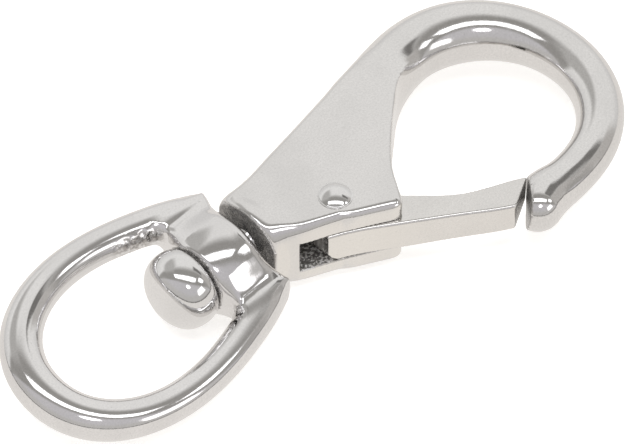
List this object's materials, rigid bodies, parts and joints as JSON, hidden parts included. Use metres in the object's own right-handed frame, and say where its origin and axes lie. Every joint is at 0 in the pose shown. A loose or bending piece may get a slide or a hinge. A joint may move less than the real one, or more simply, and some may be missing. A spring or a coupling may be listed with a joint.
{
  "type": "swivel snap hook",
  "caption": "Swivel round-eye snap hook: a cast hook with a spring-loaded gate on a rivet, joined by a swivel rivet to a round rope eye.",
  "frame": {"origin": "centre of the swivel eye's opening, on the swivel axis, at mid thickness", "axes": "+X along the swivel axis towards the hook's bowl, -Y towards the gate side, +Z out of the hook's flat side"},
  "size_m": [0.0986, 0.0405, 0.0132],
  "materials": {
    "hook_metal": "polished casting with faint satin haze",
    "gate_metal": "polished with linished outer face",
    "rivet_metal": "polished rivet",
    "spring_wire": "drawn spring wire",
    "eye_metal": "polished casting",
    "swivel_metal": "polished"
  },
  "bodies": {
    "hook": {"hook_body": "hook_metal", "gate_rivet": "rivet_metal", "swivel_rivet": "swivel_metal", "gate_spring": "spring_wire"},
    "gate_arm": {"gate": "gate_metal"},
    "eye": {"swivel_eye": "eye_metal"}
  },
  "joints": [
    {"name": "gate_hinge", "type": "hinge", "parent": "hook", "child": "gate_arm", "pos_m": [0.0318, -0.0062, 0], "axis": [0, 0, 1], "range_deg": [0, 38], "stiffness_Nm_per_rad": 0.12, "springref_deg": -20.05, "deforming": ["gate_spring"]},
    {"name": "eye_swivel", "type": "hinge", "parent": "hook", "child": "eye", "pos_m": [0.0164, 0, 0], "axis": [1, 0, 0], "continuous": true}
  ]
}
